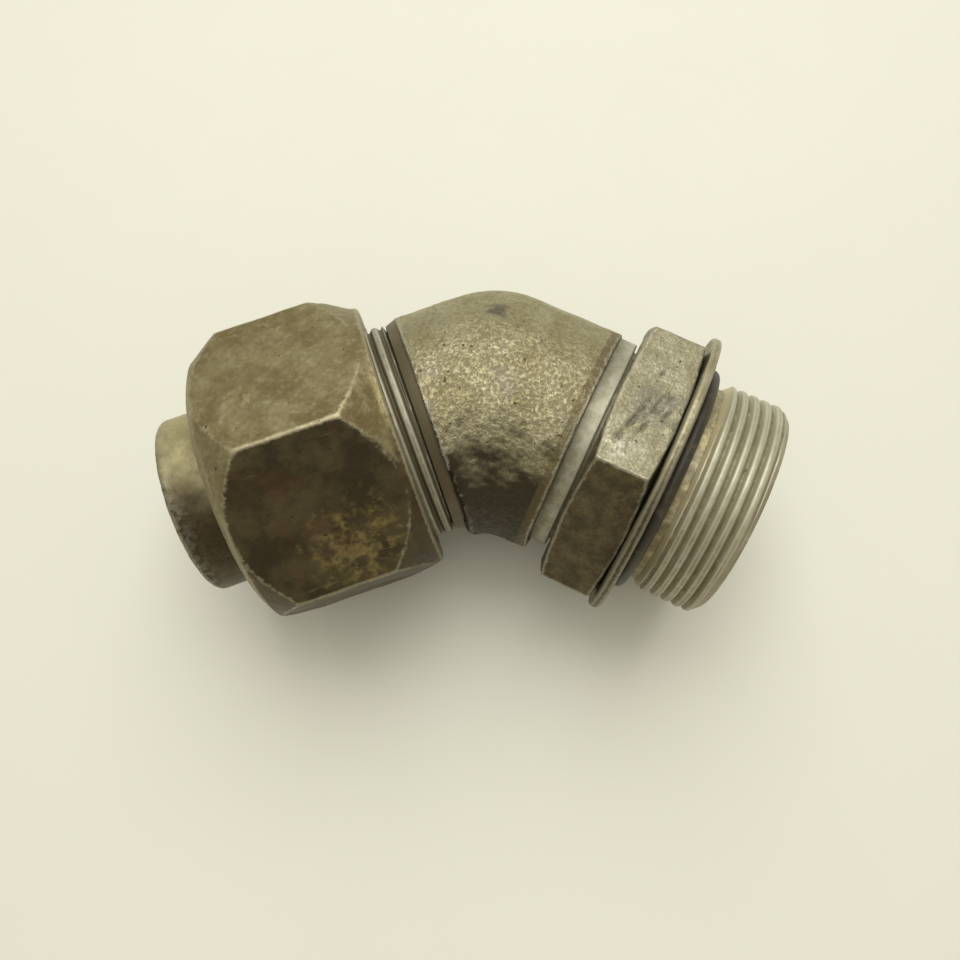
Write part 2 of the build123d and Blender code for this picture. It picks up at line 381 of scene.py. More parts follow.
def store_bends(mesh):
    """Stores how far each point stands out, as edge, or lies in a hollow, as hollow, from 0 to 1."""
    bm = bmesh.new()
    bm.from_mesh(mesh)
    bm.normal_update()
    bends = []
    for v in bm.verts:
        around = [e.other_vert(v).co - v.co for e in v.link_edges]
        lean = sum(step.dot(v.normal) / max(step.length_squared, 1e-12) for step in around)
        bends.append(-2 * lean / max(len(around), 1) * MM)
    bends = [(bends[v.index] + sum(bends[e.other_vert(v).index] for e in v.link_edges))
             / (1 + len(v.link_edges)) for v in bm.verts]
    bm.free()
    for name, sign in (("edge", 1), ("hollow", -1)):
        layer = mesh.attributes.new(name, "FLOAT", "POINT")
        layer.data.foreach_set("value", [clamped(sign * bend) for bend in bends])


def finished(name, bm, leg, material, body, cad_node, stains_and_shade=None):
    """Puts a shape in its place, as a piece that rides on a body and stands for a CAD node.

    The stains and painted shade come as {attribute: function of place and normal in the leg}, each from 0 to 1.
    """
    bmesh.ops.recalc_face_normals(bm, faces=bm.faces)
    bm.normal_update()
    values = {key: [stain(v.co, v.normal) for v in bm.verts] for key, stain in (stains_and_shade or {}).items()}
    bmesh.ops.transform(bm, matrix=leg, verts=bm.verts)
    mesh = bpy.data.meshes.new(name)
    bm.to_mesh(mesh)
    bm.free()
    mesh.shade_smooth()
    mesh.set_sharp_from_angle(angle=SHARP_ANGLE)
    store_bends(mesh)
    for key, value in values.items():
        mesh.attributes.new(key, "FLOAT", "POINT").data.foreach_set("value", value)
    mesh.materials.append(material)
    piece = bpy.data.objects.new(name, mesh)
    bpy.context.scene.collection.objects.link(piece)
    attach(piece, body)
    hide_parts(cad_node)


# Finishes

def node(tree, kind, inputs=None, **settings):
    """A shader node, with its settings and its inputs, which are values or other nodes' outputs."""
    made = tree.nodes.new("ShaderNode" + kind)
    for key, value in settings.items():
        setattr(made, key, value)
    for key, value in (inputs or {}).items():
        if isinstance(value, bpy.types.NodeSocket):
            tree.links.new(value, made.inputs[key])
        else:
            made.inputs[key].default_value = value
    return made


def maths(tree, operation, a, b=0.0, clamp=False):
    return node(tree, "Math", {0: a, 1: b}, operation=operation, use_clamp=clamp).outputs[0]


def span(tree, value, low, high, out_low=0.0, out_high=1.0):
    """The value from low to high as a smooth run from out_low to out_high."""
    inputs = {"Value": value, "From Min": low, "From Max": high, "To Min": out_low, "To Max": out_high}
    return node(tree, "MapRange", inputs, interpolation_type="SMOOTHSTEP").outputs["Result"]


def mixed(tree, factor, a, b):
    return node(tree, "Mix", {0: factor, 6: a, 7: b}, data_type="RGBA").outputs[2]


def attribute(tree, name):
    return node(tree, "Attribute", attribute_name=name).outputs["Fac"]


def colour(red, green, blue):
    return (red, green, blue, 1.0)


def painted(tree, base, mask, share, tint):
    """The base with a tint over it, which covers that share of it where the mask is 1."""
    return mixed(tree, maths(tree, "MULTIPLY", mask, share), base, tint)


def uneven(tree, value, noise_value, amount):
    """The value moved up and down by a noise that runs from 0 to 1."""
    return maths(tree, "ADD", value,
                 maths(tree, "MULTIPLY", maths(tree, "SUBTRACT", noise_value, 0.5), amount))


def group(name, sockets, outputs):
    """A node group with named inputs, given as {name: default}, and named outputs."""
    tree = bpy.data.node_groups.new(name, "ShaderNodeTree")
    for key, default in sockets.items():
        kind = "NodeSocketVector" if default is None else "NodeSocketFloat"
        made = tree.interface.new_socket(key, in_out="INPUT", socket_type=kind)
        if default is not None:
            made.default_value = default
    for key in outputs:
        tree.interface.new_socket(key, in_out="OUTPUT", socket_type="NodeSocketFloat")
    return tree, tree.nodes.new("NodeGroupInput").outputs, tree.nodes.new("NodeGroupOutput").inputs


def place_group(tree, made, **inputs):
    """The outputs of a group placed in a material; a space in a socket's name is written as _."""
    placed = tree.nodes.new("ShaderNodeGroup")
    placed.node_tree = made
    for key, value in inputs.items():
        target = placed.inputs[key.replace("_", " ").capitalize()]
        if isinstance(value, bpy.types.NodeSocket):
            tree.links.new(value, target)
        else:
            target.default_value = value
    return placed.outputs


def speckle_group():
    """Fine light and dark grains, in patches."""
    tree, given, result = group("speckle", {"Place": None, "Grain": 0.4, "Patch": 4.0, "Seed": 0.0},
                                ("Grains", "Patches"))
    fine = node(tree, "TexNoise", {"Vector": given["Place"], "W": given["Seed"], "Detail": 3.0,
                "Roughness": 0.6, "Scale": maths(tree, "DIVIDE", 1.0, given["Grain"])},
                noise_dimensions="4D")
    broad = node(tree, "TexNoise", {"Vector": given["Place"], "W": given["Seed"], "Detail": 4.0,
                 "Roughness": 0.62, "Scale": maths(tree, "DIVIDE", 1.0, given["Patch"])},
                 noise_dimensions="4D")
    tree.links.new(span(tree, fine.outputs[0], 0.35, 0.65), result["Grains"])
    tree.links.new(span(tree, broad.outputs[0], 0.36, 0.64), result["Patches"])
    return tree


def pit_group():
    """Scattered small pits: 1 at the bottom of each."""
    tree, given, result = group("pits", {"Place": None, "Spacing": 2.0, "Size": 0.25, "Share": 0.5},
                                ("Pits",))
    wander = node(tree, "TexNoise", {"Vector": given["Place"], "Scale": 1.7, "Detail": 2.0})
    moved = node(tree, "VectorMath", {0: given["Place"], 1: wander.outputs["Color"]}, operation="ADD")
    cells = node(tree, "TexVoronoi", {"Vector": moved.outputs[0],
                 "Scale": maths(tree, "DIVIDE", 1.0, given["Spacing"])})
    pick = node(tree, "SeparateColor", {0: cells.outputs["Color"]}).outputs[0]
    size = maths(tree, "MULTIPLY", maths(tree, "DIVIDE", given["Size"], given["Spacing"]),
                 maths(tree, "ADD", 0.4, pick))
    inside = maths(tree, "SUBTRACT", 1.0, maths(tree, "DIVIDE", cells.outputs["Distance"], size), True)
    chosen = maths(tree, "LESS_THAN", node(tree, "SeparateColor", {0: cells.outputs["Color"]}).outputs[1],
                   given["Share"])
    tree.links.new(maths(tree, "MULTIPLY", span(tree, inside, 0.0, 0.6), chosen), result["Pits"])
    return tree


def scratch_group():
    """Long fine scratches along X of the place that comes in."""
    tree, given, result = group("scratches", {"Place": None, "Width": 0.12, "Length": 8.0, "Amount": 0.3},
                                ("Scratches",))
    squeeze = node(tree, "CombineXYZ", {0: maths(tree, "DIVIDE", 1.0, given["Length"]),
                   1: maths(tree, "DIVIDE", 1.0, given["Width"]),
                   2: maths(tree, "DIVIDE", 1.0, given["Width"])}).outputs[0]
    place = node(tree, "VectorMath", {0: given["Place"], 1: squeeze}, operation="MULTIPLY").outputs[0]
    lines = node(tree, "TexNoise", {"Vector": place, "Scale": 0.35, "Detail": 2.0, "Roughness": 0.7})
    where = node(tree, "TexNoise", {"Vector": given["Place"], "Scale": 0.11, "Detail": 2.0})
    level = maths(tree, "ADD", lines.outputs[0], maths(tree, "MULTIPLY", where.outputs[0], 0.35))
    limit = maths(tree, "SUBTRACT", 1.0, maths(tree, "MULTIPLY", given["Amount"], 0.4))
    over = maths(tree, "DIVIDE", maths(tree, "SUBTRACT", level, limit), 0.08, True)
    tree.links.new(over, result["Scratches"])
    return tree


def wear_and_highlight_group():
    """Bare metal and painted highlights along edges, broken up, and dirt in hollows, from the piece's own
    attributes.
    """
    tree, given, result = group("wear_and_highlight", {"Place": None, "Edge": 0.5, "Hollow": 0.5, "Grain": 1.0},
                                ("Worn_and_highlit", "Dirt"))
    broken = node(tree, "TexNoise", {"Vector": given["Place"], "Detail": 4.0, "Roughness": 0.65,
                  "Scale": maths(tree, "DIVIDE", 1.0, given["Grain"])}).outputs[0]
    for name, level, output in (("edge", "Edge", "Worn_and_highlit"), ("hollow", "Hollow", "Dirt")):
        bend = maths(tree, "MULTIPLY", attribute(tree, name), given[level])
        shaken = maths(tree, "MULTIPLY", bend, maths(tree, "MULTIPLY", broken, 2.0))
        tree.links.new(span(tree, shaken, 0.2, 0.6), result[output])
    return tree


SPECKLE = speckle_group()
PITS = pit_group()
SCRATCHES = scratch_group()
WEAR_AND_HIGHLIGHT = wear_and_highlight_group()


class Finish:
    """A material being made: its tree, its places in millimetres, and its shader."""

    def __init__(self, name, metallic=0.0):
        self.material = bpy.data.materials.new(name)
        self.material.use_nodes = True
        self.tree = self.material.node_tree
        self.shader = self.tree.nodes["Principled BSDF"]
        self.shader.inputs["Metallic"].default_value = metallic
        where = node(self.tree, "TexCoord").outputs["Object"]
        self.place = node(self.tree, "Mapping", {0: where, "Scale": (1000, 1000, 1000)}).outputs[0]

    def turned_place(self, turn):
        """The place with the leg's axis as X: moved to the crossing, then turned about Z."""
        moved = node(self.tree, "Mapping", {0: self.place, "Location": tuple(-crossing)}).outputs[0]
        return node(self.tree, "Mapping", {0: moved, "Rotation": (0, 0, turn)}).outputs[0]

    def noise(self, scale, detail=3.0, roughness=0.55, place=None):
        inputs = {"Vector": place or self.place, "Scale": scale, "Detail": detail, "Roughness": roughness}
        return node(self.tree, "TexNoise", inputs).outputs[0]

    def done(self, base, roughness, bumps):
        """Links the colour, roughness and bumps, which are (height, strength, distance in metres)."""
        link = self.tree.links.new
        link(base, self.shader.inputs["Base Color"])
        link(roughness, self.shader.inputs["Roughness"])
        normal = None
        for height, strength, distance in bumps:
            inputs = {"Height": height, "Strength": strength, "Distance": distance}
            if normal is not None:
                inputs["Normal"] = normal
            normal = node(self.tree, "Bump", inputs).outputs[0]
        link(normal, self.shader.inputs["Normal"])
        return self.material


def forged_finish():
    f = Finish("forged_steel", metallic=0.55)
    t = f.tree
    speckle = place_group(t, SPECKLE, place=f.place, grain=0.6, patch=5.0, seed=1.0)
    wear_and_highlight = place_group(t, WEAR_AND_HIGHLIGHT, place=f.place, edge=1.0, hollow=1.4, grain=2.0)
    pits = place_group(t, PITS, place=f.place, spacing=1.5, size=0.28, share=0.35)["Pits"]
    grime_and_shade = attribute(t, "grime_and_shade")
    smooth = attribute(t, "smooth")
    band = attribute(t, "band")
    grains = maths(t, "MULTIPLY", speckle["Grains"], maths(t, "SUBTRACT", 1.0, smooth), True)
    plate = mixed(t, speckle["Patches"], colour(0.29, 0.26, 0.135), colour(0.37, 0.345, 0.21))
    base = painted(t, plate, grains, 0.62, colour(0.15, 0.118, 0.06))
    light = maths(t, "MULTIPLY", span(t, f.noise(2.6, 2.0), 0.56, 0.70), maths(t, "SUBTRACT", 1.0, smooth))
    base = painted(t, base, light, 0.4, colour(0.60, 0.58, 0.42))
    smear = span(t, f.noise(0.11, 2.0), 0.60, 0.68)
    base = painted(t, base, smear, 0.22, colour(0.26, 0.255, 0.23))
    # Darkest brown on the inside of the bend: grime and painted shade.
    brown = uneven(t, grime_and_shade, f.noise(0.2), 0.45)
    base = mixed(t, span(t, brown, 0.50, 0.74), base, colour(0.046, 0.035, 0.017))
    # Dark band round the forging's stud end: painted shade on its end, with grime.
    base = painted(t, base, band, 0.75, colour(0.125, 0.098, 0.042))
    base = painted(t, base, attribute(t, "spot"), 0.75, colour(0.075, 0.068, 0.052))
    base = painted(t, base, pits, 0.8, colour(0.05, 0.04, 0.025))
    # Lighter along edges: worn bare metal and painted highlight.
    base = painted(t, base, wear_and_highlight["Worn_and_highlit"], 0.45, colour(0.50, 0.48, 0.36))
    base = painted(t, base, wear_and_highlight["Dirt"], 0.8, colour(0.05, 0.04, 0.022))
    rough = span(t, speckle["Grains"], 0.0, 1.0, 0.42, 0.62)
    height = maths(t, "SUBTRACT", maths(t, "MULTIPLY", grains, -0.6), maths(t, "MULTIPLY", pits, 1.5))
    return f.done(base, rough, [(height, 0.55, 0.00022), (speckle["Patches"], 0.25, 0.0006)])


def nut_finish():
    f = Finish("worn_nut_plate", metallic=0.6)
    t = f.tree
    along = f.turned_place(math.pi - gland_turn)
    speckle = place_group(t, SPECKLE, place=f.place, grain=0.8, patch=6.0, seed=3.0)
    pits = place_group(t, PITS, place=f.place, spacing=1.7, size=0.26, share=0.4)["Pits"]
    wear_and_highlight = place_group(t, WEAR_AND_HIGHLIGHT, place=f.place, edge=1.3, hollow=1.0, grain=0.8)
    scratch = place_group(t, SCRATCHES, place=along, width=0.16, length=4.0, amount=0.36)["Scratches"]
    # Grime and painted shade on the flats turned to the inside of the bend, as umber over the olive.
    dark = attribute(t, "grime_and_shade")
    olive = mixed(t, speckle["Patches"], colour(0.20, 0.160, 0.070), colour(0.29, 0.255, 0.135))
    bloom = span(t, f.noise(0.5, 5.0, 0.7), 0.5, 0.66)
    olive = painted(t, olive, bloom, 0.6, colour(0.37, 0.345, 0.20))
    olive = painted(t, olive, speckle["Grains"], 0.35, colour(0.15, 0.118, 0.055))
    umber = mixed(t, speckle["Patches"], colour(0.048, 0.036, 0.015), colour(0.092, 0.070, 0.030))
    cloud = uneven(t, dark, f.noise(0.10), 0.7)
    base = mixed(t, span(t, cloud, 0.35, 0.65), olive, umber)
    ochre = maths(t, "MULTIPLY", span(t, f.noise(0.45, 6.0, 0.7), 0.42, 0.62), attribute(t, "ochre"))
    base = painted(t, base, ochre, 0.8, colour(0.26, 0.20, 0.072))
    # Reddish patches, only where that grime and painted shade lie.
    red = maths(t, "MULTIPLY", span(t, f.noise(0.17, 3.0), 0.55, 0.70), dark)
    base = painted(t, base, red, 0.3, colour(0.115, 0.045, 0.018))
    base = painted(t, base, pits, 0.85, colour(0.035, 0.028, 0.016))
    base = painted(t, base, scratch, 0.25, colour(0.36, 0.32, 0.19))
    base = painted(t, base, wear_and_highlight["Dirt"], 0.5, colour(0.05, 0.04, 0.022))
    # Lighter along edges: worn bare metal and painted highlight.
    base = painted(t, base, wear_and_highlight["Worn_and_highlit"], 0.5, colour(0.44, 0.41, 0.27))
    rough = span(t, speckle["Patches"], 0.0, 1.0, 0.40, 0.55)
    height = maths(t, "SUBTRACT", maths(t, "MULTIPLY", speckle["Grains"], 0.3), pits)
    bumps = [(height, 0.5, 0.00015), (scratch, -0.3, 0.0001)]
    return f.done(base, rough, bumps)


def collar_finish():
    f = Finish("worn_collar_plate", metallic=0.6)
    t = f.tree
    speckle = place_group(t, SPECKLE, place=f.place, grain=0.8, patch=8.0, seed=5.0)
    pits = place_group(t, PITS, place=f.place, spacing=1.8, size=0.2, share=0.4)["Pits"]
    wear_and_highlight = place_group(t, WEAR_AND_HIGHLIGHT, place=f.place, edge=1.0, hollow=1.0, grain=0.9)
    # Near black on the inside of the bend: grime and painted shade.
    grime_and_shade = attribute(t, "grime_and_shade")
    cloud = uneven(t, grime_and_shade, f.noise(0.15), 0.5)
    olive = mixed(t, speckle["Patches"], colour(0.40, 0.36, 0.18), colour(0.47, 0.43, 0.24))
    base = mixed(t, span(t, cloud, 0.18, 0.56), olive, colour(0.055, 0.039, 0.016))
    base = painted(t, base, speckle["Grains"], 0.25, colour(0.16, 0.13, 0.06))
    nicks = span(t, f.noise(0.8, 5.0, 0.7), 0.45, 0.58)
    nicks = maths(t, "MULTIPLY", nicks, attribute(t, "band"))
    base = painted(t, base, nicks, 0.5, colour(0.27, 0.265, 0.22))
    base = painted(t, base, pits, 0.8, colour(0.05, 0.04, 0.02))
    # Lighter along edges: worn bare metal and painted highlight.
    base = painted(t, base, wear_and_highlight["Worn_and_highlit"], 0.4, colour(0.5, 0.48, 0.34))
    rough = span(t, speckle["Patches"], 0.0, 1.0, 0.40, 0.52)
    height = maths(t, "SUBTRACT", maths(t, "MULTIPLY", nicks, -0.5), pits)
    return f.done(base, rough, [(height, 0.5, 0.00015)])


def machined_finish(name, turn, dirt):
    """Bright zinc plate over turned steel, with yellow and dirt in its hollows."""
    f = Finish(name, metallic=0.45)
    t = f.tree
    along = f.turned_place(turn)
    squash = node(t, "Mapping", {0: along, "Scale": (9.0, 0.12, 0.12)}).outputs[0]
    rings = f.noise(1.0, 3.0, 0.6, squash)
    speckle = place_group(t, SPECKLE, place=f.place, grain=0.6, patch=6.0, seed=7.0)
    pits = place_group(t, PITS, place=f.place, spacing=1.7, size=0.16, share=0.35)["Pits"]
    wear_and_highlight = place_group(t, WEAR_AND_HIGHLIGHT, place=f.place, edge=0.9, hollow=dirt, grain=1.6)
    zinc = mixed(t, span(t, rings, 0.35, 0.65), colour(0.38, 0.38, 0.27), colour(0.46, 0.46, 0.335))
    zinc = painted(t, zinc, speckle["Patches"], 0.35, colour(0.36, 0.33, 0.19))
    gold = mixed(t, speckle["Patches"], colour(0.80, 0.70, 0.38), colour(0.74, 0.69, 0.46))
    base = mixed(t, attribute(t, "gold"), zinc, gold)
    # Brown on the inside of the bend: grime and painted shade.
    brown = maths(t, "MULTIPLY", attribute(t, "grime_and_shade"), span(t, f.noise(0.3, 4.0), 0.2, 0.5))
    base = painted(t, base, brown, 0.75, colour(0.19, 0.135, 0.05))
    # Near black where band is 1: on the stud inside the forging's seat, and on the spigot's neck and thread roots.
    base = painted(t, base, attribute(t, "band"), 0.92, colour(0.060, 0.048, 0.024))
    base = painted(t, base, wear_and_highlight["Dirt"], 0.75, colour(0.13, 0.105, 0.055))
    base = painted(t, base, pits, 0.8, colour(0.04, 0.035, 0.025))
    # Lighter along edges: worn bare metal and painted highlight.
    base = painted(t, base, wear_and_highlight["Worn_and_highlit"], 0.4, colour(0.66, 0.66, 0.55))
    rough = span(t, speckle["Patches"], 0.0, 1.0, 0.42, 0.52)
    return f.done(base, rough, [(rings, 0.2, 0.00006), (pits, -0.4, 0.0001)])


def lock_nut_finish():
    f = Finish("scuffed_lock_nut_plate", metallic=0.55)
    t = f.tree
    speckle = place_group(t, SPECKLE, place=f.place, grain=0.5, patch=3.0, seed=9.0)
    pits = place_group(t, PITS, place=f.place, spacing=1.3, size=0.24, share=0.5)["Pits"]
    wear_and_highlight = place_group(t, WEAR_AND_HIGHLIGHT, place=f.place, edge=0.9, hollow=1.6, grain=0.7)
    # Brown on the faces turned down and inwards: grime and painted shade.
    grime_and_shade = attribute(t, "grime_and_shade")
    pale = mixed(t, speckle["Patches"], colour(0.27, 0.25, 0.15), colour(0.38, 0.36, 0.245))
    pale = painted(t, pale, speckle["Grains"], 0.4, colour(0.17, 0.147, 0.085))
    brown = mixed(t, speckle["Patches"], colour(0.074, 0.058, 0.026), colour(0.150, 0.120, 0.056))
    brown = painted(t, brown, speckle["Grains"], 0.4, colour(0.06, 0.045, 0.02))
    cloud = uneven(t, grime_and_shade, f.noise(0.2), 0.4)
    base = mixed(t, span(t, cloud, 0.40, 0.60), pale, brown)
    base = painted(t, base, attribute(t, "smear"), 0.6, colour(0.155, 0.145, 0.12))
    crust = maths(t, "MULTIPLY", attribute(t, "crust"), span(t, f.noise(1.2, 4.0), 0.42, 0.58))
    base = painted(t, base, crust, 0.7, colour(0.60, 0.585, 0.49))
    base = painted(t, base, wear_and_highlight["Dirt"], 0.6, colour(0.085, 0.075, 0.048))
    base = painted(t, base, pits, 0.85, colour(0.04, 0.034, 0.022))
    # Lighter along edges: worn bare metal and painted highlight.
    base = painted(t, base, wear_and_highlight["Worn_and_highlit"], 0.4, colour(0.50, 0.48, 0.37))
    rough = span(t, speckle["Grains"], 0.0, 1.0, 0.42, 0.58)
    height = maths(t, "SUBTRACT", maths(t, "MULTIPLY", speckle["Grains"], -0.4), pits)
    return f.done(base, rough, [(height, 0.5, 0.0002)])


def washer_finish():
    f = Finish("worn_washer_plate", metallic=0.65)
    t = f.tree
    speckle = place_group(t, SPECKLE, place=f.place, grain=0.7, patch=5.0, seed=11.0)
    pits = place_group(t, PITS, place=f.place, spacing=1.4, size=0.2, share=0.4)["Pits"]
    wear_and_highlight = place_group(t, WEAR_AND_HIGHLIGHT, place=f.place, edge=1.0, hollow=1.0, grain=0.8)
    base = mixed(t, speckle["Patches"], colour(0.31, 0.285, 0.17), colour(0.44, 0.42, 0.29))
    base = painted(t, base, speckle["Grains"], 0.35, colour(0.17, 0.14, 0.075))
    # Dark brown on the inside of the bend: grime and painted shade.
    base = mixed(t, span(t, attribute(t, "grime_and_shade"), 0.15, 0.65), base, colour(0.078, 0.062, 0.030))
    base = painted(t, base, pits, 0.8, colour(0.05, 0.04, 0.025))
    # Lighter along edges: worn bare metal and painted highlight.
    base = painted(t, base, wear_and_highlight["Worn_and_highlit"], 0.35, colour(0.52, 0.50, 0.38))
    rough = span(t, speckle["Grains"], 0.0, 1.0, 0.38, 0.55)
    return f.done(base, rough, [(maths(t, "ADD", speckle["Grains"], pits), -0.35, 0.00012)])


def rubber_finish():
    f = Finish("black_rubber")
    t = f.tree
    dust = span(t, f.noise(0.5, 5.0, 0.7), 0.45, 0.75)
    base = mixed(t, dust, colour(0.040, 0.033, 0.021), colour(0.110, 0.090, 0.056))
    rough = span(t, dust, 0.0, 1.0, 0.48, 0.75)
    return f.done(base, rough, [(f.noise(3.0, 3.0), 0.15, 0.0001)])


def plain_steel_finish(name, tint, roughness):
    """Clean plated steel, as found inside the gland."""
    f = Finish(name, metallic=0.9)
    t = f.tree
    speckle = place_group(t, SPECKLE, place=f.place, grain=0.7, patch=5.0, seed=13.0)
    base = mixed(t, speckle["Patches"], colour(*tint), colour(*(0.8 * c for c in tint)))
    rough = span(t, speckle["Grains"], 0.0, 1.0, roughness, roughness + 0.12)
    return f.done(base, rough, [(speckle["Grains"], 0.15, 0.00008)])


def floor_finish():
    f = Finish("pale_floor")
    t = f.tree
    base = mixed(t, f.noise(0.02, 3.0), colour(0.755, 0.76, 0.665), colour(0.785, 0.79, 0.695))
    return f.done(base, span(t, f.noise(0.2), 0.0, 1.0, 0.55, 0.62), [(f.noise(0.6), 0.02, 0.0002)])


# Stains and painted shade: how far a point of a piece, with its normal, has a stain or painted shade, from 0 to 1

def bump(value, centre, half):
    """1 at the centre, falling smoothly to 0 at half away from it."""
    away = min(abs(value - centre) / half, 1.0)
    return (1 - away * away) ** 2


def grime_and_shade_side(outside):
    """Grime and painted shade on faces turned to the inside of the bend, a little more on faces turned down;
    outside is the side of the leg's axis, 1 for +Y, that is out.
    """
    inwards = Vector((TO_INSIDE.x, -outside * abs(TO_INSIDE.y), 0))
    return lambda co, normal: clamped(0.5 + 0.5 * normal.dot(inwards) - 0.12 * normal.z)


def near_place(centre, reach, ragged=0.6):
    """A ragged spot round a place."""
    centre = Vector(centre)

    def stain(co, normal):
        wander = noise.noise(co * 0.9) * ragged
        return clamped(1.6 * (1 - (co - centre).length / reach + wander))
    return stain


def between(start, end, soft=0.3):
    """A band round the leg from one distance to another."""
    return lambda co, normal: clamped(min(co.x - start, end - co.x) / soft + 0.5)


# Pieces

def capsule(radius, end, offset):
    """A rod about X with a ball end, set off sideways in Y; both legs' rods share the ball."""
    centre = abs(offset) * math.tan(HALF_BEND)
    quarter = [math.pi / 2 * i / BALL_FACETS for i in range(BALL_FACETS + 1)]
    arc = [(centre - radius * math.cos(angle), radius * math.sin(angle)) for angle in quarter]
    bm = turned(divided(arc + [(end, radius), (end, 0)], COARSE_STEP, closed=False)
                + [Vector((end, 0)), Vector((centre, 0))], closed=False)
    bmesh.ops.remove_doubles(bm, verts=bm.verts, dist=1e-4)
    bmesh.ops.translate(bm, verts=bm.verts, vec=(0, offset, 0))
    return bm


def joined(first, second):
    mesh = bpy.data.meshes.new("joining")
    second.to_mesh(mesh)
    second.free()
    first.from_mesh(mesh)
    bpy.data.meshes.remove(mesh)
    return first


def make_forging(material):
    """The forged bend, from one leg's machined end to the other's, in the stud leg's frame."""
    to_gland = Matrix.Rotation(gland_turn, 4, "Z")
    stud_rod = capsule(FORGING_RADIUS, STUD_FORGING_END, -FORGING_OFFSET)
    gland_rod = capsule(FORGING_RADIUS, GLAND_FORGING_END, FORGING_OFFSET)
    bmesh.ops.transform(gland_rod, matrix=to_gland, verts=gland_rod.verts)
    bm = skinned(joined(stud_rod, gland_rod), FORGING_CELL)
    near = [v for v in bm.verts
            if abs(v.co.cross(TO_INSIDE).z) < CREASE_REACH and v.co.dot(TO_INSIDE) > 0]
    for _ in range(CREASE_PASSES):
        soften(bm, near)
    roughen(bm, 0.16, 5.0, seed=1)
    roughen(bm, 0.05, 1.1, seed=2, where=lambda co: clamped(1.3 + co.dot(TO_INSIDE) / FORGING_RADIUS))
    mouth = BORE_RADIUS + 4.0
    cutters = []
    for end, turn in ((STUD_FORGING_END, Matrix()), (GLAND_FORGING_END, to_gland)):
        step = end - FORGING_STEP
        passage = capsule(BORE_RADIUS, step + 0.2, 0.0)
        seat = turned([(step, 0.001), (step, mouth), (end + 2, mouth), (end + 2, 0.001)])
        for cutter in (passage, seat):
            bmesh.ops.transform(cutter, matrix=turn, verts=cutter.verts)
            cutters.append(cutter)
    bm = bored(bm, cutters)

    def smooth(co, normal):
        return clamped(-1.5 * TO_INSIDE.dot(normal) - 0.55)

    # The dark band round the stud end: painted shade with grime, ragged at its edge.
    def band(co, normal):
        return clamped((co.x - STUD_FORGING_END + 2.0) / 0.3 + noise.noise(co * 0.8) * 0.7)
    stains_and_shade = {"grime_and_shade": grime_and_shade_side(1), "smooth": smooth, "band": band,
              "spot": near_place((-4.3, 10.4, 18.3), 2.4)}
    finished("elbow_forging", bm, STUD, material, "elbow", "elbow_body", stains_and_shade)


def make_stud(material):
    """The machined end that screws into the port, with the lock nut's thread behind its groove."""
    bm = bmesh.new()
    start = STUD_FORGING_END - FORGING_STEP
    lathe(bm, rounded([
        (LOCK_THREAD_START - RIM_GAP, RELIEF_RADIUS),
        (SHOULDER_END, RELIEF_RADIUS),
        (SHOULDER_END, SHOULDER_RADIUS, 0.35),
        (start, SHOULDER_RADIUS),
        (start, BORE_RADIUS),
        (STUD_END, BORE_RADIUS, 0.6),
        (STUD_END, RELIEF_RADIUS),
    ]), closed=False)
    groove = [(LOCK_THREAD_END + RIM_GAP, RELIEF_RADIUS), (GROOVE_END - RIM_GAP, RELIEF_RADIUS)]
    lathe(bm, groove, closed=False)
    crest_above = STUD_CREST - 0.75 * PITCH
    add_thread(bm, LOCK_THREAD_START, LOCK_THREAD_END, crest_above, RELIEF_RADIUS, 1.2)
    add_thread(bm, GROOVE_END, STUD_END - RIM_GAP, crest_above, RELIEF_RADIUS, 1.5)
    close_gaps(bm, (LOCK_THREAD_START, LOCK_THREAD_END, GROOVE_END, STUD_END))
    gold = between(LOCK_THREAD_END - 0.5, GROOVE_END + 1.2, 0.8)
    stains_and_shade = {"grime_and_shade": grime_and_shade_side(1), "gold": gold, "band": between(0.0, STUD_FORGING_END - 0.5)}
    finished("elbow_stud", bm, STUD, material, "elbow", "elbow_body", stains_and_shade)


def make_spigot(material):
    """The machined end that the gland nut screws on to, with the pocket for the gland's pieces."""
    bm = bmesh.new()
    start = GLAND_FORGING_END - FORGING_STEP
    lathe(bm, rounded([
        (GLAND_THREAD_START - RIM_GAP, RELIEF_RADIUS),
        (NECK_END, NECK_END_RADIUS),
        (GLAND_FORGING_END, NECK_RADIUS),
        (start, NECK_RADIUS),
        (start, BORE_RADIUS),
        (CONDUIT_STOP, BORE_RADIUS, 0.4),
        (CONDUIT_STOP, CONDUIT_RADIUS),
        (POCKET_FLOOR, CONDUIT_RADIUS),
        (POCKET_FLOOR, POCKET_RADIUS),
        (SEAT_START, POCKET_RADIUS),
        (GLAND_MOUTH, SEAT_MOUTH_RADIUS),
        (GLAND_MOUTH, RELIEF_RADIUS),
    ]), closed=False)
    crest_above = GLAND_CREST - 0.25 * PITCH
    add_thread(bm, GLAND_THREAD_START, GLAND_MOUTH - RIM_GAP, crest_above, RELIEF_RADIUS, 0.4)
    close_gaps(bm, (GLAND_THREAD_START, GLAND_MOUTH))
    neck = between(0.0, NECK_END + 0.1, 0.5)

    # Dark all over, and darkest on the neck and deep below the thread's crests.
    def root_and_neck_darkening(co, normal):
        depth = (MAJOR_RADIUS - math.hypot(co.y, co.z)) / DARKENING_DEPTH
        return max(neck(co, normal), clamped(0.45 + 0.6 * depth))
    stains_and_shade = {"grime_and_shade": grime_and_shade_side(-1), "gold": lambda co, normal: 0.0, "band": root_and_neck_darkening}
    finished("elbow_spigot", bm, GLAND, material, "elbow", "elbow_body", stains_and_shade)


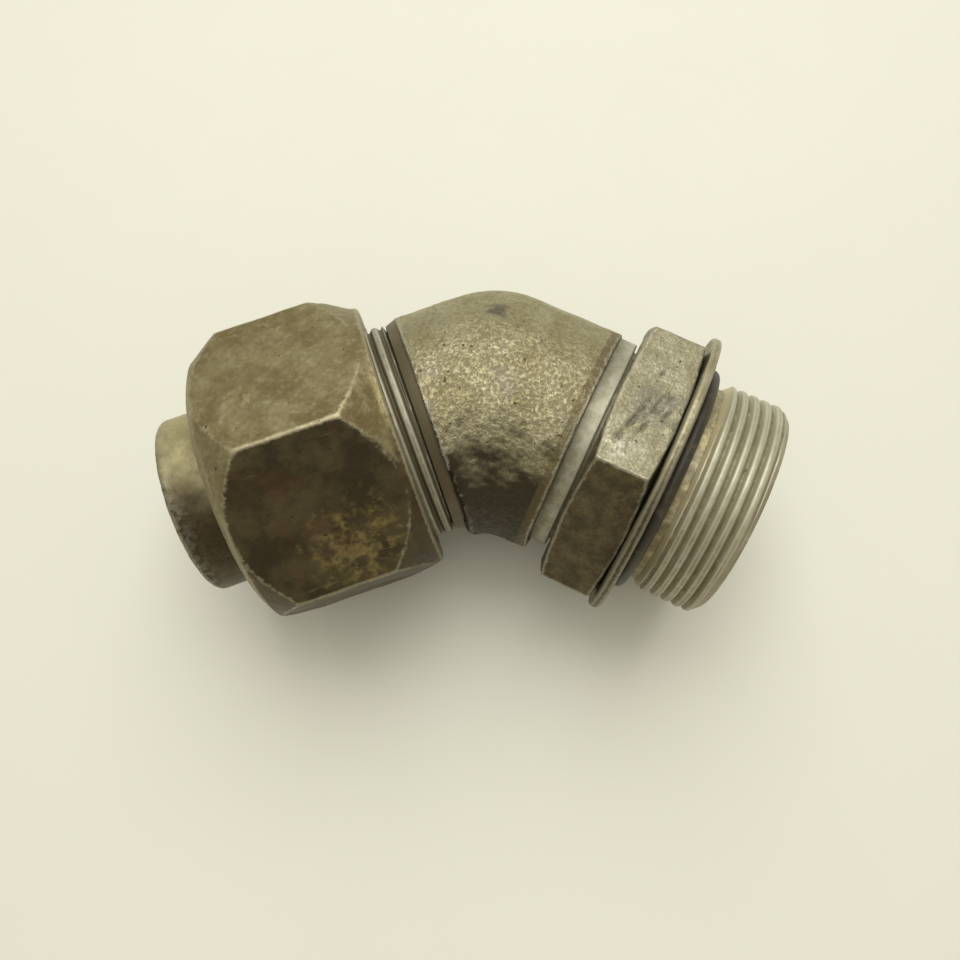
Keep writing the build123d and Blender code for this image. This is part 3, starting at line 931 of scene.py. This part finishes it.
def make_gland_nut(material):
    """The large compression nut, over the gland's thread, rings and collar."""
    corner_radius = NUT_FLATS / math.sqrt(3)
    bm = turned(divided(rounded([
        (NUT_START, NUT_MOUTH_RADIUS),
        (NUT_START, NUT_FRONT_RIM, 0.25),
        (NUT_RIM_END, NUT_EDGE_RADIUS),
        (NUT_CORNER_START, corner_radius),
        (NUT_CORNER_END, corner_radius),
        (NUT_BACK_EDGE, NUT_EDGE_RADIUS, 1.2),
        (NUT_END, NUT_BACK_RIM, 0.5),
        (NUT_END, NUT_HOLE_RADIUS, 0.5),
        (NUT_SHOULDER, NUT_HOLE_RADIUS),
        (NUT_SHOULDER, NUT_CHAMBER_RADIUS, 1.0),
        (NUT_THREAD_END, NUT_CHAMBER_RADIUS),
        (NUT_THREAD_END, NUT_THREAD_RADIUS),
        (NUT_START + 0.8, NUT_THREAD_RADIUS),
    ]), COARSE_STEP))
    cut_flats(bm, NUT_FLATS, NUT_TURN)
    bm = skinned(bm, NUT_CELL)
    plate = beyond(NUT_PLATE_RADIUS)
    roughen(bm, 0.10, 6.0, seed=4, where=plate)
    roughen(bm, 0.03, 0.9, seed=5, where=plate)

    # Grime and painted shade on the flats turned to the inside of the bend, less on the ends.
    def dark(co, normal):
        flat = normal.y * 0.9 - abs(normal.x) * 0.55
        return clamped(0.30 + 1.1 * flat)
    stains_and_shade = {"grime_and_shade": dark, "ochre": near_place((31.5, 20.5, 17.0), 9.0, 0.7)}
    finished("gland_nut_shell", bm, GLAND, material, "gland_nut", "gland_nut", stains_and_shade)


def make_collar(material):
    """The collar that stands out of the gland nut's back, with its head inside."""
    bm = turned(divided(rounded([
        (COLLAR_END, CONDUIT_RADIUS, 0.4),
        (COLLAR_END, COLLAR_RADIUS, 1.1),
        (HEAD_END, COLLAR_RADIUS, 0.5),
        (HEAD_END, HEAD_RADIUS, 0.3),
        (HEAD_START, HEAD_RADIUS, 0.3),
        (HEAD_START, CONDUIT_RADIUS, 0.2),
    ], 6), FINE_STEP))
    roughen(bm, 0.06, 4.0, seed=6, where=lambda co: clamped((co.x - NUT_END + 1) / 2))
    roughen(bm, 0.05, 0.9, seed=7, where=lambda co: bump(co.x, COLLAR_END, 3.0))
    stains_and_shade = {"grime_and_shade": grime_and_shade_side(-1), "band": lambda co, normal: bump(co.x, COLLAR_END, 4.0)}
    finished("gland_collar", bm, GLAND, material, "sleeve", "gland_sleeve", stains_and_shade)


def make_lock_nut(material):
    """The thin nut on the stud, with its scuffs and smears."""
    corner_radius = LOCK_FLATS / math.sqrt(3)
    front = LOCK_END - LOCK_GAP
    bm = turned(divided(rounded([
        (LOCK_START, LOCK_MOUTH_RADIUS),
        (LOCK_START, LOCK_RIM),
        (LOCK_START + LOCK_CHAMFER, corner_radius),
        (front - LOCK_CHAMFER, corner_radius),
        (front, LOCK_RIM),
        (front, LOCK_MOUTH_RADIUS),
        (LOCK_END - 0.5, NUT_THREAD_RADIUS),
        (LOCK_START + 0.5, NUT_THREAD_RADIUS),
    ]), COARSE_STEP))
    cut_flats(bm, LOCK_FLATS, -LOCK_TURN)
    bm = skinned(bm, LOCK_CELL)
    plate = beyond(LOCK_PLATE_RADIUS)
    roughen(bm, 0.08, 3.5, seed=8, where=plate)
    roughen(bm, 0.04, 0.8, seed=9, where=plate)
    flat_turn = math.radians(30) - LOCK_TURN
    flat = Vector((0, math.sin(flat_turn), math.cos(flat_turn)))
    across = Vector((0, flat.z, -flat.y))
    face = flat * (LOCK_FLATS / 2)

    def on_face(x, y):
        """The point of the upper flat at x along the stud and y across, towards the outside."""
        return Vector((x, 0, 0)) + face + across * y
    slant = Vector((0.35, 0, 0)) + across
    strokes = ((25.6, -2.0, 6.0, 1.0, 0.30), (27.0, -1.0, 5.5, 0.9, 0.35), (28.6, 1.0, 4.5, 0.9, 0.30),
               (24.6, -5.0, 3.0, 0.7, 0.35), (26.6, -5.5, 3.5, 0.6, 0.25), (29.4, -1.5, 3.0, 0.7, 0.25),
               (23.6, -8.5, 2.4, 0.9, 0.30), (26.0, 5.5, 2.0, 0.5, 0.25))
    for seed, (x, y, length, width, depth) in enumerate(strokes):
        gouge(bm, on_face(x, y), slant, length, width, depth, seed)

    # Grime and painted shade on the faces turned down and to the inside of the bend.
    def dark(co, normal):
        return clamped(0.5 - 1.1 * (normal.y + 0.2 * normal.z - 0.12))
    stains_and_shade = {"grime_and_shade": dark, "smear": near_place(on_face(27.0, -1.0), 5.0),
              "crust": near_place(on_face(24.2, -10.5), 2.6)}
    finished("lock_nut_shell", bm, STUD, material, "lock_nut", "lock_nut", stains_and_shade)


def make_washer(material):
    """The plain washer between the lock nut and the O-ring."""
    bm = turned(divided(rounded([
        (WASHER_START, WASHER_HOLE_RADIUS, 0.2),
        (WASHER_FACE, WASHER_HOLE_RADIUS, 0.2),
        (WASHER_FACE, WASHER_RADIUS, 0.45),
        (WASHER_START, WASHER_RADIUS, 0.45),
    ]), FINE_STEP))
    roughen(bm, 0.05, 4.0, seed=10, where=beyond(WASHER_PLATE_RADIUS))
    finished("washer_plate", bm, STUD, material, "washer", "backup_washer",
             {"grime_and_shade": grime_and_shade_side(1)})


def make_ring(material):
    """The O-ring, a little flattened."""
    height = (RING_END - RING_START) / 2
    width = RING_SQUEEZE * height
    centre = Vector((RING_START + width, RING_OUTSIDE - height))
    angles = [math.tau * i / RING_FACETS for i in range(RING_FACETS)]
    outline = [centre + Vector((width * math.cos(angle), height * math.sin(angle))) for angle in angles]
    finished("port_ring", turned(outline), STUD, material, "washer", "boss_o_ring")


elbow_zinc = machined_finish("stud_zinc", 0.0, 0.5)
spigot_zinc = machined_finish("spigot_zinc", -gland_turn, 3.0)
rubber = rubber_finish()
make_forging(forged_finish())
make_stud(elbow_zinc)
make_spigot(spigot_zinc)
make_gland_nut(nut_finish())
make_collar(collar_finish())
make_lock_nut(lock_nut_finish())
make_washer(washer_finish())
make_ring(rubber)
inner_finishes = {
    "compression_ring": plain_steel_finish("spring_steel", (0.50, 0.50, 0.49), 0.28),
    "gland_washer": plain_steel_finish("sheet_steel", (0.55, 0.54, 0.50), 0.38),
    "sealing_ring": rubber,
}
for name, material in inner_finishes.items():
    for slot in frame["nodes"][name].material_slots:
        slot.material = material


# Floor, camera and lights

def make_floor():
    bm = bmesh.new()
    bmesh.ops.create_grid(bm, x_segments=1, y_segments=1, size=3.0)
    bmesh.ops.translate(bm, verts=bm.verts, vec=(0, 0, cad_low.z))
    mesh = bpy.data.meshes.new("floor")
    bm.to_mesh(mesh)
    bm.free()
    mesh.materials.append(floor_finish())
    floor = bpy.data.objects.new("floor", mesh)
    bpy.context.scene.collection.objects.link(floor)


def make_camera():
    """Looks almost straight down, tilted a little and turned to the bend."""
    camera = bpy.data.objects.new("camera", bpy.data.cameras.new("camera"))
    bpy.context.scene.collection.objects.link(camera)
    camera.location = Vector((-12.52, -42.36, 156.42)) * MM
    camera.rotation_euler = (math.radians(13.10), math.radians(1.38), math.radians(25.69))
    camera.data.lens = 31.74
    camera.data.sensor_width = 36.0
    camera.data.shift_x = 0.0014
    camera.data.shift_y = -0.0235
    camera.data.clip_start = 0.01
    bpy.context.scene.camera = camera


def soft_light(name, towards, elevation, distance, size, power, tint):
    """A square soft light that faces the object, from a direction given in degrees round from +X."""
    round_z, up = math.radians(towards), math.radians(elevation)
    middle = (cad_low + cad_high) / 2
    back = Vector((math.cos(round_z) * math.cos(up), math.sin(round_z) * math.cos(up), math.sin(up)))
    lamp = bpy.data.lights.new(name, "AREA")
    lamp.size = size
    lamp.energy = power
    lamp.color = tint
    light = bpy.data.objects.new(name, lamp)
    light.location = middle + back * distance
    light.rotation_mode = "QUATERNION"
    light.rotation_quaternion = back.to_track_quat("Z", "Y")
    bpy.context.scene.collection.objects.link(light)


make_floor()
make_camera()
soft_light("window", 112.5, 57, 1.2, 1.0, 9.5, (1.0, 0.985, 0.95))
soft_light("overhead", 112.5, 85, 1.3, 1.1, 5.5, (1.0, 0.985, 0.95))
world = bpy.data.worlds.new("studio")
world.use_nodes = True
world.node_tree.nodes["Background"].inputs["Color"].default_value = (1.0, 0.92, 0.75, 1.0)
world.node_tree.nodes["Background"].inputs["Strength"].default_value = 0.38
bpy.context.scene.world = world
bpy.context.scene.view_settings.view_transform = "Standard"

bpy.context.view_layer.update()
